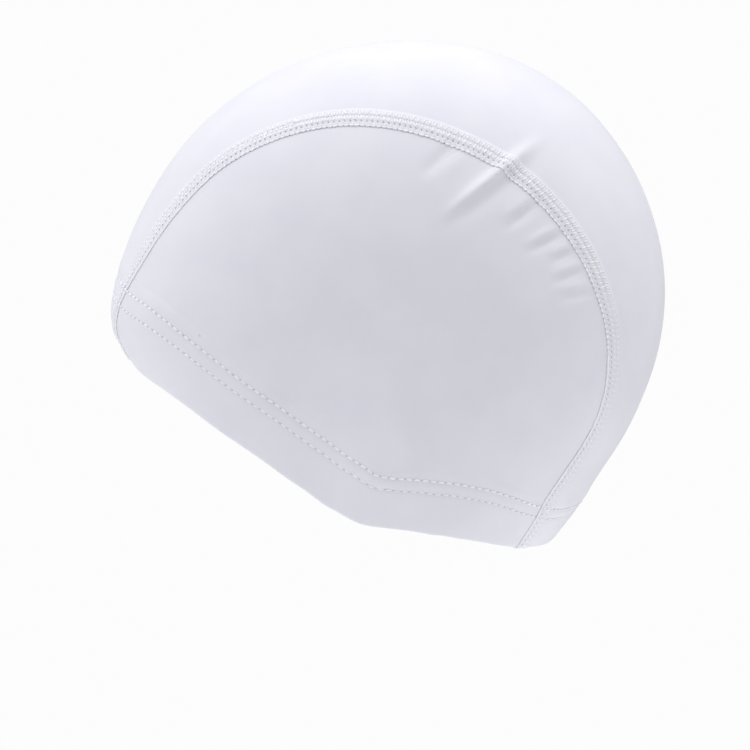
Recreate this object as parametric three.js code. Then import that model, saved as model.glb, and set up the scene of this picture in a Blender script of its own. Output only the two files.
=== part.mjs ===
// A three-panel swim cap of coated stretch fabric, in the shape that it takes on a head.
//
// Frame: +Z up, +Y to the back of the head, -Y to the face, +X to the wearer's left, in millimetres.
// The origin is on the inside of the crown, at its highest point.
//
// The head is described by a fan. A half plane turns about an axis from ear to ear, and "angle" says how
// far: -90 looks forward, 0 up, 90 back and 180 down. In each half plane, "tilt" goes from 0 at the middle
// of the head to 90 at the axis, on the side of the head. The seams and the rim are lines in that fan.
import * as THREE from 'three';

// The whole cap
const CAP_LENGTH = 201;
const CAP_HEIGHT = 184;
const CAP_WIDTH = 156;

// Cloth, hem and seams
const FABRIC = 1;
const HEM_DEPTH = 21;
const HEM_EDGE = 1.2;
const HEM_LAYERS = 2;
const STRIP_WIDTH = 165;
const SEAM_WIDTH = 7;
const SEAM_RISE = 0.5;
const SEAM_RAMP = 0.7;
const SEAM_GAP = 0.3;

// The hem curls in under the brow by this much
const BROW_TUCK = 6.2;

// The ear under the cloth
const EAR_RISE = 3;
const EAR_WIDTH = 15;
const EAR_HEIGHT = 22;

// The exponent of the head's cross section, 2 for an ellipse and more for fuller cheeks
const FULLNESS = 2.5;

// Steps of the mesh
const RIM_STEPS = 110;
const SEAM_STEP = 7;
const FOLD_STEP = 1.1;
const FOLD_STATIONS = [0, -0.9, 0.9, -2, 2];
const SIDE_HEM_STEPS = 28;
const SIDE_RINGS = [0.14, 0.3, 0.46, 0.6, 0.72, 0.82, 0.9, 0.96];
const STRIP_FIELDS = 5;
const HEM_FIELDS = 3;

// A row of a table is read by the names of its columns
const table = (columns, rows) => rows.map((row) => (
  Object.fromEntries(columns.map((name, i) => [name, row[i]]))
));

// The head in profile: reach is the share of half the cap's length and height from the axis to the cloth
const PROFILE = table(['angle', 'reach'], [
  [-95, 1.138], [-84, 1.143], [-73, 1.136], [-60, 1.139], [-42, 1.16], [-24, 1.169], [-5, 1.166], [14, 1.138],
  [29, 1.088], [43, 1.022], [60, 0.947], [77, 0.888], [92, 0.848], [108, 0.822], [124, 0.823], [132, 0.836],
  [140, 0.869], [150, 0.927], [160, 1.0], [169, 1.13], [180, 1.34], [196, 1.45], [207, 1.38], [218, 1.27],
  [233, 1.18], [248, 1.14],
]);

// The crown's highest point, over the origin
const CROWN_ANGLE = -4.5;

// The centre panel: share of its greatest flat width, from brow to nape
const STRIP = table(['angle', 'width'], [
  [-100, 0.2], [-92, 0.212], [-88, 0.242], [-84, 0.302], [-80, 0.37], [-76, 0.425], [-71, 0.474],
  [-60, 0.555], [-50, 0.622], [-40, 0.696], [-30, 0.764], [-20, 0.829], [-10, 0.893], [0, 0.945],
  [10, 0.983], [22, 1.0], [34, 0.993], [48, 0.958], [62, 0.908], [76, 0.846], [90, 0.766], [100, 0.707],
  [110, 0.647], [120, 0.608], [130, 0.587], [140, 0.595], [147, 0.588], [153, 0.535], [159, 0.478],
  [166, 0.42],
]);

// The rim, from the middle of the brow down past the ear to the middle of the nape, and the hem's depth there
// as a share of HEM_DEPTH
const RIM = table(['stop', 'angle', 'tilt', 'depth'], [
  [0, -94.7, 0, 1.6], [1, -95.9, 9, 1.6], [2, -98.2, 18, 1.54], [3, -100.8, 27.5, 1.38], [4, -104.7, 36.3, 1.22],
  [5, -112.2, 44.8, 1.1], [6, -126.5, 53.9, 1.03], [7, -143.1, 59.8, 1], [8, -154.5, 62.6, 1],
  [9, -162.5, 63.4, 1], [10, -170, 63.2, 1], [11, -177, 61.5, 0.99], [12, -183.5, 57.8, 0.98],
  [13, -189, 51.4, 0.97], [14, -194, 44, 0.95], [15, -198.4, 35.2, 0.94], [16, -202.5, 25.4, 0.93],
  [17, -206.6, 13.6, 0.93], [18, -209.5, 0, 0.93],
]);

// Where the brow's curl starts, the angle in which it grows, how sharp its bend is, and its reach to the sides
const CURL = { angle: -88.5, run: 6.4, bend: 0.35, spread: 26 };

// Folds that the seam gathers: where each crosses the seam, its half width in degrees, its rise or dent and
// how far it runs below and above the seam, all as shares of the seam's width
const FOLDS = table(['angle', 'spread', 'rise', 'below', 'above'], [
  [7.5, 1.9, -0.07, 1.9, 0.6],
  [22.3, 1.8, 0.24, 2.5, 1.4],
  [26.4, 2.2, -0.12, 2.9, 1.5],
  [38, 2, -0.08, 1.6, 0.8],
  [48.4, 1.5, 0.04, 2, 0.6],
  [51.3, 1.5, -0.08, 2, 0.6],
  [58.4, 1.3, -0.05, 1.1, 0.4],
  [63.4, 1.2, 0.04, 1.5, 0.4],
  [66.2, 1.3, -0.06, 1.6, 0.4],
  [74.6, 1.5, -0.05, 1.7, 0.4],
]);

// The folds lean forward on their way down the side, most where this angle crosses the seam
const LEAN = { most: 13, angle: 16, spread: 24, depth: 0.2 };

// The ear's place, as shares of the cap's length and height from the crown
const EAR = { back: -0.055, down: 0.795 };

const MIDDLE = 0;
const AXIS = 90;
const HALF_TURN = 180;
const FULL_TURN = 360;
const BEHIND = -150;
const NEAR = 0.01;

const radians = (degrees) => (degrees * Math.PI) / HALF_TURN;
const mix = (from, to, share) => from + (to - from) * share;
const bell = (distance) => Math.exp(-distance * distance);

// A smooth curve through the rows of a table, with the slope at each row taken from its neighbours
function smooth(rows, along, column, at) {
  let i = 0;
  while (i < rows.length - 2 && at > rows[i + 1][along]) i += 1;
  const slope = (k) => {
    const before = rows[Math.max(k - 1, 0)];
    const after = rows[Math.min(k + 1, rows.length - 1)];
    return (after[column] - before[column]) / (after[along] - before[along]);
  };
  const span = rows[i + 1][along] - rows[i][along];
  const t = (at - rows[i][along]) / span;
  const rest = 1 - t;
  return rows[i][column] * rest * rest * (1 + 2 * t) + rows[i + 1][column] * t * t * (3 - 2 * t)
    + slope(i) * span * t * rest * rest - slope(i + 1) * span * t * t * rest;
}

// The profile with two rows more at each end, so that it runs on smoothly all the way round
const turned = (rows, turn) => rows.map((row) => ({ ...row, angle: row.angle + turn }));
const ROUND_PROFILE = [
  ...turned(PROFILE.slice(-2), -FULL_TURN), ...PROFILE, ...turned(PROFILE.slice(0, 2), FULL_TURN),
];

function reach(angle) {
  const start = PROFILE[0].angle;
  const within = angle - FULL_TURN * Math.floor((angle - start) / FULL_TURN);
  return smooth(ROUND_PROFILE, 'angle', 'reach', within);
}

// The hub of the fan lies below the highest point of the crown, whose inside is the origin
function findHub() {
  const far = reach(CROWN_ANGLE);
  return {
    back: -(CAP_LENGTH / 2) * far * Math.sin(radians(CROWN_ANGLE)),
    up: FABRIC - (CAP_HEIGHT / 2) * far * Math.cos(radians(CROWN_ANGLE)),
  };
}
const HUB = findHub();

function head(angle, tilt) {
  const far = reach(angle) * Math.cos(radians(tilt)) ** (2 / FULLNESS);
  return new THREE.Vector3(
    (CAP_WIDTH / 2) * Math.sin(radians(tilt)),
    HUB.back + (CAP_LENGTH / 2) * far * Math.sin(radians(angle)),
    HUB.up + (CAP_HEIGHT / 2) * far * Math.cos(radians(angle)),
  );
}

// How the head's surface runs on from a point, for one degree of angle and one of tilt
function slopes(angle, tilt) {
  const low = Math.max(tilt - NEAR, -AXIS);
  const high = Math.min(tilt + NEAR, AXIS);
  const byAngle = head(angle + NEAR, tilt).sub(head(angle - NEAR, tilt)).divideScalar(2 * NEAR);
  const byTilt = head(angle, high).sub(head(angle, low)).divideScalar(high - low);
  return { byAngle, byTilt };
}

function outward(angle, tilt) {
  if (tilt > AXIS - 0.5) return new THREE.Vector3(1, 0, 0);
  const { byAngle, byTilt } = slopes(angle, tilt);
  return byTilt.cross(byAngle).normalize();
}

// Moves a place in the fan by a small step in space
function moved({ angle, tilt }, step) {
  const { byAngle, byTilt } = slopes(angle, tilt);
  const a = byAngle.dot(byAngle);
  const b = byAngle.dot(byTilt);
  const c = byTilt.dot(byTilt);
  const p = byAngle.dot(step);
  const q = byTilt.dot(step);
  const size = a * c - b * b;
  return { angle: angle + (p * c - q * b) / size, tilt: tilt + (q * a - p * b) / size };
}

// The seam lies half the strip's width from the middle, measured over the head
function tiltAtWidth(angle, width) {
  const steps = 40;
  let tilt = MIDDLE;
  for (let i = 0; i < steps; i += 1) {
    const half = tilt + width / steps / 2 / slopes(angle, tilt).byTilt.length();
    tilt += width / steps / slopes(angle, half).byTilt.length();
  }
  return tilt;
}
const SEAM = STRIP.map(({ angle, width }) => ({ angle, tilt: tiltAtWidth(angle, (width * STRIP_WIDTH) / 2) }));

// The tilt of a line beside the seam: a positive offset lies on the side panel, a negative one on the strip
function besideSeam(angle, offset) {
  const tilt = smooth(SEAM, 'angle', 'tilt', angle);
  const ahead = head(angle + NEAR, smooth(SEAM, 'angle', 'tilt', angle + NEAR));
  const along = ahead.sub(head(angle, tilt)).normalize();
  return tilt + offset / slopes(angle, tilt).byTilt.cross(along).length();
}

// The rim, and lines at a height above it, from the middle of the brow to the middle of the nape
const mirrored = (row, stop) => ({ ...row, stop, tilt: -row.tilt });
const LAST = RIM.length - 1;
const WHOLE_RIM = [mirrored(RIM[1], -1), ...RIM, mirrored(RIM[LAST - 1], LAST + 1)];

function rimPlace(stop) {
  return { angle: smooth(WHOLE_RIM, 'stop', 'angle', stop), tilt: smooth(WHOLE_RIM, 'stop', 'tilt', stop) };
}

// A height above the rim is measured over the head, and grows with the hem's depth
function lineAbove(height) {
  return Array.from({ length: RIM_STEPS + 1 }, (_, i) => {
    const stop = (LAST * i) / RIM_STEPS;
    const before = rimPlace(stop - NEAR);
    const after = rimPlace(stop + NEAR);
    const along = head(after.angle, after.tilt).sub(head(before.angle, before.tilt)).normalize();
    const steps = 6;
    const rise = (height * smooth(WHOLE_RIM, 'stop', 'depth', stop)) / steps;
    let place = rimPlace(stop);
    for (let k = 0; k < steps; k += 1) {
      const up = outward(place.angle, place.tilt).cross(along).normalize();
      place = moved(place, up.multiplyScalar(rise));
    }
    return place;
  });
}

// Under the head the angle goes on past the back, and over the top it is the same angle plus a full turn
const overTop = (angle) => (angle < BEHIND ? angle + FULL_TURN : angle);

function pointOnLine(line, index) {
  const i = Math.min(Math.floor(index), line.length - 2);
  const share = index - i;
  return { angle: mix(line[i].angle, line[i + 1].angle, share), tilt: mix(line[i].tilt, line[i + 1].tilt, share) };
}

// Where a line above the rim meets a line that runs from brow to nape, at the front or at the back
function meeting(line, tiltAt, atBack) {
  const past = (i) => line[i].tilt - tiltAt(overTop(line[i].angle));
  let i = atBack ? line.length - 2 : 0;
  const step = atBack ? -1 : 1;
  while (past(i) * past(i + 1) > 0) i += step;
  return i + past(i) / (past(i) - past(i + 1));
}

// How much the cloth stands off the plain head: the folds at the seam, and the ear
function foldHeight(angle, belowSeam) {
  return FOLDS.reduce((sum, fold) => {
    const run = SEAM_WIDTH * (belowSeam > 0 ? fold.below : fold.above);
    return sum + fold.rise * SEAM_WIDTH * bell((angle - fold.angle) / fold.spread) * bell(belowSeam / run);
  }, 0);
}

function earHeight(point) {
  const back = point.y - EAR.back * CAP_LENGTH;
  const down = -point.z - EAR.down * CAP_HEIGHT;
  return EAR_RISE * bell(back / EAR_WIDTH) * bell(down / EAR_HEIGHT);
}

function browTuck(angle, tilt) {
  if (angle > MIDDLE || angle < BEHIND) return 0;
  const run = (CURL.angle - angle) / CURL.run;
  return ((BROW_TUCK * (run + Math.hypot(run, CURL.bend))) / 2) * bell(tilt / CURL.spread);
}

// One point of a panel, outside and inside
function clothPoint({ angle, tilt }, rise, thickness) {
  const skin = head(angle, tilt);
  const normal = outward(angle, tilt);
  const outside = skin.clone().addScaledVector(normal, rise + earHeight(skin) - browTuck(angle, tilt));
  return { outside, inside: outside.clone().addScaledVector(normal, -thickness) };
}

// A closed shell from its points, its outward faces and the loop of its border
function shell(points, faces, border) {
  const inner = points.length;
  const corners = [...points.map((p) => p.outside), ...points.map((p) => p.inside)];
  const triangles = [];
  faces.forEach((face) => {
    for (let i = 1; i < face.length - 1; i += 1) {
      triangles.push(face[0], face[i], face[i + 1]);
      triangles.push(face[0] + inner, face[i + 1] + inner, face[i] + inner);
    }
  });
  border.forEach((from, i) => {
    const to = border[(i + 1) % border.length];
    triangles.push(from, to + inner, to, from, from + inner, to + inner);
  });
  return { corners, triangles };
}

function meshOf(name, { corners, triangles }, material) {
  const geometry = new THREE.BufferGeometry();
  geometry.setAttribute('position', new THREE.Float32BufferAttribute(corners.flatMap((p) => p.toArray()), 3));
  geometry.setIndex(triangles);
  geometry.computeVertexNormals();
  const mesh = new THREE.Mesh(geometry, material);
  mesh.name = name;
  return mesh;
}

function mirroredShell({ corners, triangles }) {
  const flipped = [];
  for (let i = 0; i < triangles.length; i += 3) flipped.push(triangles[i], triangles[i + 2], triangles[i + 1]);
  return { corners: corners.map((p) => new THREE.Vector3(-p.x, p.y, p.z)), triangles: flipped };
}

const coatedCloth = () => new THREE.MeshStandardMaterial({ color: 0xe6e6ee, roughness: 0.5, metalness: 0 });

// The heights above the rim of the hem's rows: the folded hem, then its raw edge inside
const HEM_HEIGHTS = Array.from({ length: HEM_FIELDS + 1 }, (_, i) => (HEM_DEPTH * i) / HEM_FIELDS);
const HEM_LINES = HEM_HEIGHTS.map(lineAbove);
const BODY_LINE = lineAbove(HEM_DEPTH + HEM_EDGE);
const HEM_THICKNESS = HEM_LAYERS * FABRIC;

// The stations of both panels along the seam, as shares of the way between the hems: even steps, with more
// on each fold
function seamShares() {
  const seamTilt = (angle) => besideSeam(angle, 0);
  const start = pointOnLine(BODY_LINE, meeting(BODY_LINE, seamTilt, false)).angle;
  const end = overTop(pointOnLine(BODY_LINE, meeting(BODY_LINE, seamTilt, true)).angle);
  const count = Math.round((end - start) / SEAM_STEP);
  const even = Array.from({ length: count + 1 }, (_, i) => mix(start, end, i / count));
  const onFolds = [];
  FOLDS.forEach((fold) => FOLD_STATIONS.forEach((share) => {
    const angle = fold.angle + share * fold.spread;
    if (onFolds.every((other) => Math.abs(other - angle) > FOLD_STEP)) onFolds.push(angle);
  }));
  const free = even.filter((angle, i) => i === 0 || i === count
    || onFolds.every((other) => Math.abs(other - angle) > FOLD_STEP));
  return [...free, ...onFolds].sort((a, b) => a - b).map((angle) => (angle - start) / (end - start));
}
const SEAM_SHARES = seamShares();

// The centre panel has even fields up to the seam's band, then the band and the cut edge
function stripTilt(column, angle) {
  const side = Math.sign(column);
  const field = Math.abs(column);
  const band = SEAM_WIDTH;
  if (field === STRIP_FIELDS + 2) return side * besideSeam(angle, -SEAM_GAP / 2);
  if (field === STRIP_FIELDS + 1) return side * besideSeam(angle, SEAM_RAMP - band);
  return (side * besideSeam(angle, -band) * field) / STRIP_FIELDS;
}

function centrePanel() {
  const last = STRIP_FIELDS + 2;
  const columns = Array.from({ length: 2 * last + 1 }, (_, i) => i - last);
  const width = columns.length;
  const places = [];
  const addRow = (thickness, placeAt) => columns.forEach((column) => {
    places.push({ ...placeAt(column), column, thickness });
  });
  const onLine = (line, atBack) => (column) => {
    const index = meeting(line, (angle) => stripTilt(Math.max(Math.abs(column), NEAR), angle), atBack);
    const angle = overTop(pointOnLine(line, column === 0 ? (atBack ? line.length - 1 : 0) : index).angle);
    return { angle, tilt: stripTilt(column, angle) };
  };
  HEM_LINES.forEach((line) => addRow(HEM_THICKNESS, onLine(line, false)));
  const start = onLine(BODY_LINE, false);
  const end = onLine(BODY_LINE, true);
  const starts = columns.map((column) => start(column).angle);
  const ends = columns.map((column) => end(column).angle);
  SEAM_SHARES.forEach((share) => {
    addRow(FABRIC, (column) => {
      const angle = mix(starts[column + last], ends[column + last], share);
      return { angle, tilt: stripTilt(column, angle) };
    });
  });
  [...HEM_LINES].reverse().forEach((line) => addRow(HEM_THICKNESS, onLine(line, true)));

  const points = places.map(({ angle, tilt, column, thickness }) => {
    const seamTilt = smooth(SEAM, 'angle', 'tilt', angle);
    const toSeam = (seamTilt - Math.abs(tilt)) * slopes(angle, seamTilt).byTilt.length();
    const band = Math.abs(column) > STRIP_FIELDS ? SEAM_RISE : 0;
    return clothPoint({ angle, tilt }, band + foldHeight(angle, -toSeam), thickness + band);
  });
  const rows = points.length / width;
  const faces = [];
  for (let i = 0; i < rows - 1; i += 1) {
    for (let j = 0; j < width - 1; j += 1) {
      const corner = i * width + j;
      faces.push([corner, corner + 1, corner + width + 1, corner + width]);
    }
  }
  const front = columns.map((_, j) => j);
  const right = Array.from({ length: rows }, (_, i) => i * width + width - 1);
  const back = columns.map((_, j) => (rows - 1) * width + j);
  const left = right.map((i) => i - width + 1);
  const border = [...front, ...right.slice(1), ...back.reverse().slice(1), ...left.reverse().slice(1, -1)];
  return shell(points, faces, border);
}

function sidePanel() {
  const seamTilt = (angle) => besideSeam(angle, SEAM_GAP / 2);
  const hemRow = (line) => {
    const front = meeting(line, seamTilt, false);
    const back = meeting(line, seamTilt, true);
    const stops = Array.from({ length: SIDE_HEM_STEPS + 1 }, (_, i) => mix(front, back, i / SIDE_HEM_STEPS));
    return stops.map((stop) => pointOnLine(line, stop));
  };
  const hemRows = HEM_LINES.map(hemRow);
  const bodyRow = hemRow(BODY_LINE);

  // A ring of columns round the axis: over the top along the seam, then back below along the hem
  const first = bodyRow[0].angle;
  const last = overTop(bodyRow[SIDE_HEM_STEPS].angle);
  const over = SEAM_SHARES.map((share) => {
    const angle = mix(first, last, share);
    return { angle, tilt: seamTilt(angle), lean: LEAN.most * bell((angle - LEAN.angle) / LEAN.spread) };
  });
  const under = bodyRow.slice(1, -1).reverse()
    .map(({ angle, tilt }) => ({ angle: angle + FULL_TURN, tilt, lean: 0 }));
  const ring = [...over, ...under];

  const points = [clothPoint({ angle: 0, tilt: AXIS }, 0, FABRIC)];
  [...SIDE_RINGS, 1].forEach((share) => ring.forEach(({ angle, tilt, lean }, i) => {
    const leaning = angle - lean * (1 - Math.exp((share - 1) / LEAN.depth));
    const place = { angle: leaning, tilt: mix(AXIS, tilt, share) };
    const below = head(angle, tilt).distanceTo(head(place.angle, place.tilt));
    const fold = i < over.length ? foldHeight(angle, below) : 0;
    points.push(clothPoint(place, fold, FABRIC));
  }));
  const ringStart = (k) => 1 + k * ring.length;
  const faces = ring.map((_, i) => [0, 1 + ((i + 1) % ring.length), 1 + i]);
  for (let k = 0; k < SIDE_RINGS.length; k += 1) {
    ring.forEach((_, i) => {
      const next = (i + 1) % ring.length;
      faces.push([ringStart(k) + i, ringStart(k) + next, ringStart(k + 1) + next, ringStart(k + 1) + i]);
    });
  }

  // The hem's rows hang from the ring's lower half, front to back
  const outer = ringStart(SIDE_RINGS.length);
  let above = [outer, ...under.map((_, i) => outer + over.length + i).reverse(), outer + over.length - 1];
  const frontEdge = [];
  const backEdge = [];
  [...hemRows].reverse().forEach((row) => {
    const below = row.map((place) => points.push(clothPoint(place, 0, HEM_THICKNESS)) - 1);
    for (let i = 0; i < SIDE_HEM_STEPS; i += 1) faces.push([above[i], below[i], below[i + 1], above[i + 1]]);
    frontEdge.push(below[0]);
    backEdge.push(below[SIDE_HEM_STEPS]);
    above = below;
  });
  const seamEdge = over.map((_, i) => outer + i).reverse();
  const border = [...seamEdge, ...frontEdge, ...above.slice(1, -1), ...backEdge.reverse()];
  return shell(points, faces, border);
}

const cap = new THREE.Group();
const side = sidePanel();
cap.add(meshOf('centre_panel', centrePanel(), coatedCloth()));
cap.add(meshOf('side_panel_left', side, coatedCloth()));
cap.add(meshOf('side_panel_right', mirroredShell(side), coatedCloth()));

export default cap;
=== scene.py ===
# %% [markdown]
# # A three-panel swim cap
# The cap is sewn from three pieces of coated stretch cloth: a centre strip that runs from the brow over the
# crown to the nape, and a panel on each side. Two flat seams join them, and a folded hem with two rows of
# stitches runs round the edge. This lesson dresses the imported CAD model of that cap, in its worn shape.

import bmesh
import bpy
import numpy as np
from mathutils import Matrix, Vector


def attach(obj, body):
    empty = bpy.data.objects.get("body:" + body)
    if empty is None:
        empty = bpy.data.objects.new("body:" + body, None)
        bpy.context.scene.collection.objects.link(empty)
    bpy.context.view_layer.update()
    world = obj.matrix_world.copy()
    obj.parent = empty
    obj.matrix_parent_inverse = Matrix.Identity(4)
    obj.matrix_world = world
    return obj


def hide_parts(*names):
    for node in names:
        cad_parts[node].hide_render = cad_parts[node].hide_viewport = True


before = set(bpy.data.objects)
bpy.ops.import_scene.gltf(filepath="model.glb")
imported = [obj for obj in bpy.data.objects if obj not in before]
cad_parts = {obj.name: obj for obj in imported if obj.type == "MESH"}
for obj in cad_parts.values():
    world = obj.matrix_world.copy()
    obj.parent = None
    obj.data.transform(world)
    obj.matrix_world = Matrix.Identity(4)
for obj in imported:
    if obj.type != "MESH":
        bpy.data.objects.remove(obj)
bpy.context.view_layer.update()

# %% [markdown]
# ## Camera
# The photograph looks at the wearer's left side, level, from a good distance, so the cap shows almost no
# perspective. The camera stands on the +X side and looks along -X. Its picture is square.

# %% Camera
CAMERA_DISTANCE = 1.7
CAMERA_PLACE = (CAMERA_DISTANCE, -0.00909, -0.1206)
PICTURE_WIDTH = 0.2727

camera_data = bpy.data.cameras.new("camera")
camera_data.sensor_fit = "HORIZONTAL"
camera_data.sensor_width = 36.0
camera_data.lens = camera_data.sensor_width * CAMERA_DISTANCE / PICTURE_WIDTH
camera_data.clip_end = 20.0
camera = bpy.data.objects.new("camera", camera_data)
camera.location = CAMERA_PLACE
camera.rotation_euler = (Vector((-1, 0, 0)).to_track_quat("-Z", "Y")).to_euler()
bpy.context.scene.collection.objects.link(camera)
bpy.context.scene.camera = camera
print("lens in mm:", round(camera_data.lens, 1))

# %% [markdown]
# ## The named sizes
# These are the cap's own sizes, in millimetres, as its CAD source has them. The short tables give the
# profile of the head, the flat width of the centre strip, and the line of the rim. Folds and the parts of the
# ear are placed as the camera sees them, by how far back and how far down they show.

# %% Sizes
MM = 0.001
join = np.concatenate
CAP_LENGTH, CAP_HEIGHT, CAP_WIDTH = 201.0, 184.0, 156.0
HEM_DEPTH, HEM_EDGE = 21.0, 1.2
STRIP_WIDTH, SEAM_WIDTH = 165.0, 7.0
BROW_TUCK = 6.2
EAR_RISE, EAR_WIDTH, EAR_HEIGHT = 3.0, 15.0, 22.0
EAR_BACK, EAR_DOWN = -0.055, 0.795
FULLNESS = 2.5
CROWN_ANGLE = -4.5
CLOTH = 0.6
FOLD_LINE = 0.9


def table(columns, rows):
    """The rows of a table as one array for each named column."""
    values = np.array(rows, float)
    return {name: values[:, i] for i, name in enumerate(columns)}


PROFILE = table(("angle", "reach"), [
    (-95, 1.138), (-84, 1.143), (-73, 1.136), (-60, 1.139), (-42, 1.16), (-24, 1.169), (-5, 1.166),
    (14, 1.138), (29, 1.088), (43, 1.022), (60, 0.947), (77, 0.888), (92, 0.848), (108, 0.822),
    (124, 0.823), (132, 0.836), (140, 0.869), (150, 0.927), (160, 1.0), (169, 1.13), (180, 1.34),
    (196, 1.45), (207, 1.38), (218, 1.27), (233, 1.18), (248, 1.14)])
STRIP = table(("angle", "width"), [
    (-100, 0.13), (-96, 0.135), (-92, 0.17), (-88, 0.235), (-84, 0.302), (-80, 0.37), (-76, 0.425),
    (-71, 0.474), (-60, 0.555), (-50, 0.622), (-40, 0.696), (-30, 0.764), (-20, 0.829), (-10, 0.893),
    (0, 0.945), (10, 0.983), (22, 1.0), (34, 0.993), (48, 0.958), (62, 0.908), (76, 0.846), (90, 0.766),
    (100, 0.707), (110, 0.647), (120, 0.608), (130, 0.587), (140, 0.595), (147, 0.588), (153, 0.535),
    (159, 0.478), (166, 0.42)])
RIM = table(("stop", "angle", "tilt", "depth"), [
    (-1, -95.9, -9, 1.6), (0, -94.7, 0, 1.6), (1, -95.9, 9, 1.6), (2, -98.2, 18, 1.54),
    (3, -100.8, 27.5, 1.46), (4, -104.7, 36.3, 1.3), (5, -112.2, 44.8, 1.17), (6, -126.5, 53.9, 1.08),
    (7, -143.1, 59.8, 1.04), (8, -154.5, 62.6, 1.03), (9, -162.5, 63.4, 1), (10, -170, 63.2, 0.98),
    (11, -177, 61.5, 1), (12, -183.5, 57.8, 1.03), (13, -189, 51.4, 1.05), (14, -194, 44, 1.03),
    (15, -198.4, 35.2, 0.98), (16, -202.5, 25.4, 0.93), (17, -206.6, 13.6, 0.93), (18, -209.5, 0, 0.93),
    (19, -206.6, -13.6, 0.93)])
RIM_END = 18
CURL = {"angle": -88.5, "run": 6.4, "bend": 0.35, "spread": 26}
FOLDS = table(("back", "down", "back_end", "down_end", "spread", "rise"), [
    (20.4, 35.5, 8.4, 47.9, 2.6, -0.8), (25.5, 38.8, 16.7, 48.2, 2.6, 0.3),
    (49.9, 35.7, 18.3, 61.2, 2.5, 2.1), (51.8, 41.5, 16.9, 67.3, 3.1, -0.75),
    (47.3, 55.1, 36.4, 63.9, 2.2, 0.5), (51.3, 57.0, 39.3, 67.5, 2.0, -0.85),
    (57.5, 66.1, 45.5, 73.3, 1.7, 0.5), (60.4, 68.6, 46.9, 76.2, 1.8, -0.8),
    (62.2, 72.2, 54.2, 77.0, 1.4, 0.35), (64.0, 75.1, 55.3, 79.9, 1.5, -0.6),
    (65.1, 79.5, 55.3, 84.2, 1.4, 0.4), (66.9, 82.4, 55.6, 87.5, 1.6, -0.65),
    (68.4, 86.8, 57.8, 90.1, 1.5, 0.35), (70.2, 90.4, 58.2, 93.7, 1.6, -0.55)])
FOLD_GROWS, FOLD_FADES = (-0.15, 0.45), (0.55, 1.2)
FOLD_ANGLES = ((7.5, 1.9), (22.3, 1.8), (26.4, 2.2), (38, 2), (49, 2), (58.4, 1.3), (65, 2), (74.6, 1.5))
EAR_PARTS = table(("back", "down", "width", "height", "rise"), [
    (-5.5, 156.0, 12, 11, 2.4), (2.0, 146.8, 4, 9, -0.7)])
LEAN = {"most": 13, "angle": 16, "spread": 24, "depth": 0.2}
print("tables:", len(PROFILE["angle"]), "profile rows,", len(RIM["stop"]), "rim rows")

# %% [markdown]
# ## The worn shape as a fan
# A half plane turns about an axis from ear to ear. Its "angle" is -90 to the front, 0 up, 90 to the back and
# 180 down, and "tilt" runs from 0 in the middle of the head to 90 on the axis. Two numbers then name each
# point of the cloth, which makes seams and hems easy to follow.

# %% Fan
NEAR = 0.01


def smooth(rows, along, column, at):
    """A smooth curve through a table's rows, with slopes taken from the neighbours."""
    x, y = rows[along], rows[column]
    at = np.asarray(at, float)
    i = np.clip(np.searchsorted(x, at, side="left") - 1, 0, len(x) - 2)
    low, high = np.clip(i - 1, 0, None), np.clip(i + 2, None, len(x) - 1)
    slope_here = (y[i + 1] - y[low]) / (x[i + 1] - x[low])
    slope_next = (y[high] - y[i]) / (x[high] - x[i])
    span = x[i + 1] - x[i]
    t = (at - x[i]) / span
    rest = 1 - t
    return (y[i] * rest**2 * (1 + 2 * t) + y[i + 1] * t**2 * (3 - 2 * t)
            + slope_here * span * t * rest**2 - slope_next * span * t**2 * rest)


ROUND = {name: join([PROFILE[name][-2:] - turn, PROFILE[name], PROFILE[name][:2] + turn])
         for name, turn in (("angle", 360), ("reach", 0))}


def reach(angle):
    start = PROFILE["angle"][0]
    return smooth(ROUND, "angle", "reach", angle - 360 * np.floor((angle - start) / 360))


crown = np.radians(CROWN_ANGLE)
HUB_BACK = -CAP_LENGTH / 2 * reach(CROWN_ANGLE) * np.sin(crown)
HUB_UP = 1.0 - CAP_HEIGHT / 2 * reach(CROWN_ANGLE) * np.cos(crown)


def head(angle, tilt):
    """The plain head's surface, in millimetres."""
    angle, tilt = np.broadcast_arrays(np.asarray(angle, float), np.asarray(tilt, float))
    far = reach(angle) * np.cos(np.radians(tilt)).clip(0) ** (2 / FULLNESS)
    return np.stack([CAP_WIDTH / 2 * np.sin(np.radians(tilt)),
                     HUB_BACK + CAP_LENGTH / 2 * far * np.sin(np.radians(angle)),
                     HUB_UP + CAP_HEIGHT / 2 * far * np.cos(np.radians(angle))], -1)


def slopes(angle, tilt):
    tilt = np.clip(tilt, -90, 90)
    low, high = np.clip(tilt - NEAR, -90, 90), np.clip(tilt + NEAR, -90, 90)
    by_angle = (head(angle + NEAR, tilt) - head(angle - NEAR, tilt)) / (2 * NEAR)
    by_tilt = (head(angle, high) - head(angle, low)) / (high - low)[..., None]
    return by_angle, by_tilt


def length(vectors):
    return np.linalg.norm(vectors, axis=-1)


def run_along(points):
    """Distances along the first way of a grid of points, from its start."""
    steps = length(np.diff(points, axis=0))
    return join([np.zeros((1,) + steps.shape[1:]), np.cumsum(steps, 0)])


def unit(vectors):
    return vectors / length(vectors).clip(1e-9)[..., None]


def bell(distance):
    return np.exp(-np.square(distance))


def outward(angle, tilt):
    angle, tilt = np.broadcast_arrays(np.asarray(angle, float), np.asarray(tilt, float))
    by_angle, by_tilt = slopes(angle, tilt)
    normal = unit(np.cross(by_tilt, by_angle))
    return np.where((tilt > 89.5)[..., None], np.array([1.0, 0, 0]), normal)


print("hub in mm:", round(float(HUB_BACK), 1), round(float(HUB_UP), 1))

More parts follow.
